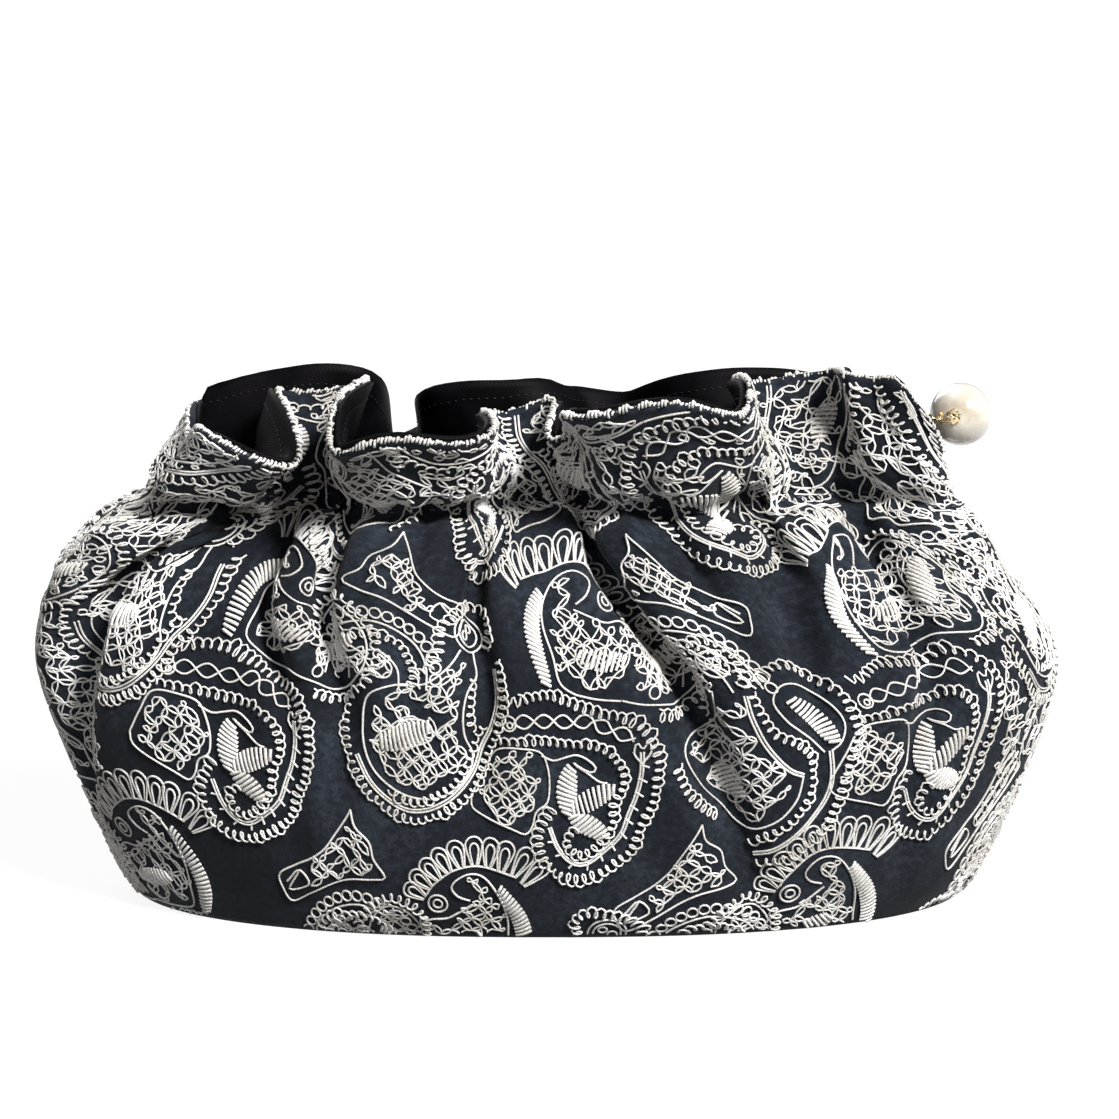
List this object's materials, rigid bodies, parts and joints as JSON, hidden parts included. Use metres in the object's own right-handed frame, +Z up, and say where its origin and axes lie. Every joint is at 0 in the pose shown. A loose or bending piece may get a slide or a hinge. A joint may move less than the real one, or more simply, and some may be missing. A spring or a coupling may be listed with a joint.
{
  "type": "gathered cosmetic pouch",
  "caption": "Soft gathered cloth pouch with a frilled mouth, corded paisley embroidery, a black lining and a pearl charm; stands open on a flat base to hold small things.",
  "frame": {"origin": "on the ground under the middle of the base", "axes": "+X to the right along the mouth as seen from the front, -Y towards the front, +Z up"},
  "size_m": [0.219, 0.0905, 0.1158],
  "materials": {
    "outer_cloth": "matt dark slate navy cotton",
    "thread": "off-white corded embroidery thread",
    "lining_cloth": "black twill lining with a slight sheen",
    "gold": "polished pale gold plate",
    "pearl": "cream pearl lustre"
  },
  "bodies": {
    "root": {"front_panel": "outer_cloth", "back_panel": "outer_cloth", "base_panel": "outer_cloth", "lining": "lining_cloth", "charm_post": "gold", "jump_ring_inner": "gold", "jump_ring_outer": "gold", "eye_pin": "gold", "bead_cap": "gold", "pearl": "pearl"}
  },
  "joints": []
}
